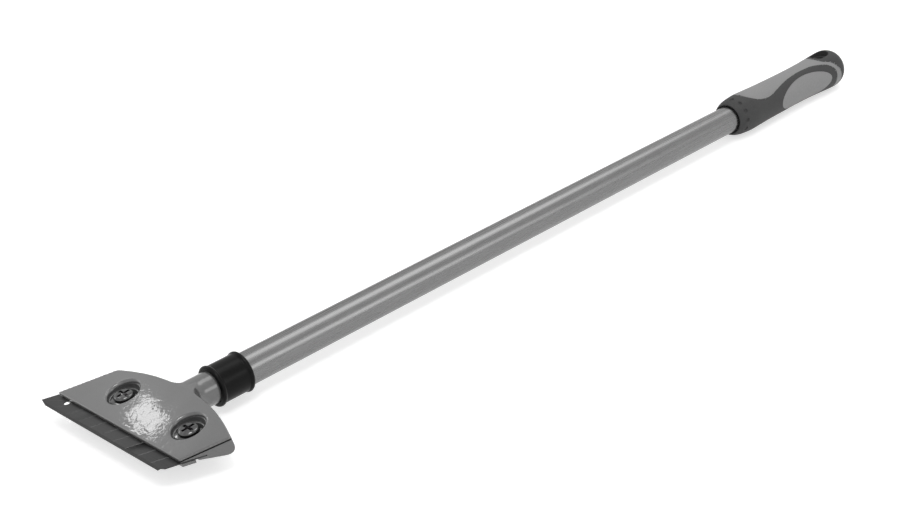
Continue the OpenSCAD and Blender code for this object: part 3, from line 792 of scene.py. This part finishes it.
cut(cap, cap_zone, "INTERSECT", keep=True)
core = twin(blank, "grip_body")
skin_room = twin(blank, "skin_room")
cut(skin_room, turn_on_lathe("channel", [
    (GRIP_FRONT + LIP, 0.0), (GRIP_FRONT + LIP, inside[0][1] - SEAM),
] + [(x, r - SEAM) for x, r in inside[1:-1]] + [(554.5, 0.0)], steps=128))
cap_room = twin(skin_room, "cap_room")
cut(skin_room, skin_zone, "INTERSECT", keep=True)
cut(cap_room, cap_zone, "INTERSECT", keep=True)
cut(core, skin_room)
cut(core, cap_room)
cut(core, tube_room, keep=True)
cut(core, lining, keep=True)

# The cap's dark rubber also lines the hanging hole, down to the dark skin below.
plug = twin(lining, "plug")
cut(plug, inner, "INTERSECT", keep=True)
cut(cap, plug, "UNION")
for room in mouths:
    for piece in (skin, core, cap):
        cut(piece, room, keep=True)

cut(inlay, oval_zone, "INTERSECT", keep=True)
other_inlay = twin(inlay, "inlay_left")
for piece, side in ((inlay, 1), (other_inlay, -1)):
    slice_off(piece, (0, 0, 0), (0, side, 0))
    close_seams(piece)
for piece, material, slot, node in (
        (skin, GRIP_RUBBER, "grip_dark", "grip_overmould"),
        (cap, GRIP_RUBBER, "grip_dark", "grip_end_cap"),
        (core, GRIP_PLASTIC, "grip_light", "grip_core"),
        (inlay, GRIP_PLASTIC, "grip_light", "side_inlay_right"),
        (other_inlay, GRIP_PLASTIC, "grip_light", "side_inlay_left")):
    finish_piece(piece, material, "handle", node, smooth_up_to=40)
for used in (skin_zone, cap_zone, oval_zone, oval_room, blank, inner, tube_room, mouth_room,
             lining) + mouths:
    bpy.data.objects.remove(used)

# Floor, light and camera
WHITE = (1.0, 1.0, 1.0, 1.0)
ROOM_LEVEL = 0.75


def sort_rays(tree):
    """The ray node, and a 1 for rays that come by way of metal, gloss or glass."""
    ray = add(tree, "ShaderNodeLightPath")
    return ray, add(tree, "ShaderNodeMath", {"operation": "MAXIMUM"},
                    {0: (ray, "Is Glossy Ray"), 1: (ray, "Is Transmission Ray")})


deselect()
bpy.ops.mesh.primitive_plane_add(size=8.0, location=(0, 0, cad_box[0][2]))
floor = bpy.context.object
floor.name = "floor"
# Matt white paper: no pattern, no gloss, only the tool's soft shadow
floor_paint, tree = start_material("white_paper")
ray, mirrored = sort_rays(tree)
looked_at = add(tree, "ShaderNodeMath", {"operation": "MAXIMUM"},
                {0: (ray, "Is Camera Ray"), 1: (mirrored, 0)})
paper = add(tree, "ShaderNodeBsdfDiffuse", {"Color": (0.95, 0.95, 0.95, 1.0)})
# The camera and the metal see a brighter paper, on which the shadow stays faint.
pale = add(tree, "ShaderNodeBsdfDiffuse", {"Color": (0.6, 0.6, 0.6, 1.0)})
glow = add(tree, "ShaderNodeEmission", {"Color": WHITE, "Strength": 0.6})
bright = add(tree, "ShaderNodeAddShader", links={0: (pale, 0), 1: (glow, 0)})
shown = add(tree, "ShaderNodeMixShader", links={0: (looked_at, 0), 1: (paper, 0), 2: (bright, 0)})
add(tree, "ShaderNodeOutputMaterial", links={"Surface": (shown, 0)})
floor.data.materials.append(floor_paint)

# Far soft boxes in an evenly lit room: heading, height, radius of the full light and of its
# soft edge in degrees, and strength over the room's level
SOFT_BOXES = (
    (5, 56, 9, 17, 1.7),       # upper band of light along the tube
    (-58, 19, 5, 13, 2.0),     # lower band
    (112, 26, 6, 13, 1.2),     # front edge of the head
    (-110, 73, 6, 13, 8.0),    # glints on the screws
    (54, 9, 8, 22, -0.3),      # dim patch for the hollow by the neck and the blade's left end
)
world = bpy.data.worlds.new("studio")
bpy.context.scene.world = world
world.use_nodes = True
tree = world.node_tree
tree.nodes.clear()
ray, mirrored = sort_rays(tree)
way = add(tree, "ShaderNodeTexCoord")
brightness = add(tree, "ShaderNodeMath", {"operation": "ADD", 0: ROOM_LEVEL, 1: 0.0})
for heading, height, full_turn, edge_turn, strength in SOFT_BOXES:
    level = math.cos(math.radians(height))
    towards = (level * math.cos(math.radians(heading)), level * math.sin(math.radians(heading)),
               math.sin(math.radians(height)))
    along = add(tree, "ShaderNodeVectorMath", {"operation": "DOT_PRODUCT", 1: towards},
                {0: (way, "Generated")})
    soft = add(tree, "ShaderNodeMapRange", {
        "interpolation_type": "SMOOTHSTEP", "From Min": math.cos(math.radians(edge_turn)),
        "From Max": math.cos(math.radians(full_turn)), "To Min": 0.0, "To Max": strength,
    }, {"Value": (along, "Value")})
    brightness = add(tree, "ShaderNodeMath", {"operation": "ADD"},
                     {0: (soft, "Result"), 1: (brightness, 0)})
# In metal and gloss the room looks as white as the camera sees it.
lift = add(tree, "ShaderNodeMapRange", {"To Min": 1.0, "To Max": 1.0 / ROOM_LEVEL},
           {"Value": (mirrored, 0)})
lifted = add(tree, "ShaderNodeMath", {"operation": "MULTIPLY"}, {0: (brightness, 0), 1: (lift, 0)})
room = add(tree, "ShaderNodeBackground", {"Color": WHITE}, {"Strength": (lifted, 0)})
seen = add(tree, "ShaderNodeBackground", {"Color": WHITE, "Strength": 1.0})
backdrop = add(tree, "ShaderNodeMixShader",
               links={0: (ray, "Is Camera Ray"), 1: (room, 0), 2: (seen, 0)})
add(tree, "ShaderNodeOutputWorld", links={"Surface": (backdrop, 0)})


def square_lamp(name, place, target, size, power):
    bpy.ops.object.light_add(type="AREA", location=place)
    lamp = bpy.context.object
    lamp.name = name
    lamp.data.shape = "SQUARE"
    lamp.data.size = size
    lamp.data.energy = power
    lamp.rotation_euler = (Vector(target) - Vector(place)).to_track_quat("-Z", "Y").to_euler()
    return lamp


square_lamp("soft_front", (-1.2, -1.2, 0.9), (-0.4, 0.0, 0.0), 0.8, 1.5)
# A small lamp close by, whose gloss lies on the head between the two screws
GLOSS_SPOT = from_edge(17.5, -4.0, 3.0)
GLOSS_WAY, GLOSS_DISTANCE = Vector((0.151, 0.787, 0.598)), 0.18
gloss = square_lamp("small_gloss", GLOSS_SPOT + GLOSS_WAY * GLOSS_DISTANCE, GLOSS_SPOT,
                    0.017, 0.006)
gloss.visible_camera = False

# The camera stands where the photograph was taken from.
CAMERA_PLACE = (-245.42, -520.55, 313.87)
ACROSS, DOWN, AHEAD = ((0.7138, -0.6898, -0.1209), (-0.3704, -0.2253, -0.9011),
                       (0.5944, 0.6880, -0.4163))
FOCAL_PIXELS = 1477.73
FRAME_PIXELS = 900
camera_data = bpy.data.cameras.new("photo_camera")
camera = bpy.data.objects.new("photo_camera", camera_data)
bpy.context.scene.collection.objects.link(camera)
turn = Matrix((Vector(ACROSS), -Vector(DOWN), -Vector(AHEAD))).transposed()
camera.matrix_world = Matrix.Translation(from_edge(*CAMERA_PLACE)) @ turn.to_4x4()
camera_data.sensor_fit = "HORIZONTAL"
camera_data.sensor_width = 36.0
camera_data.lens = FOCAL_PIXELS * camera_data.sensor_width / FRAME_PIXELS
camera_data.clip_start = 0.01
bpy.context.scene.camera = camera
bpy.context.scene.view_settings.view_transform = "Standard"
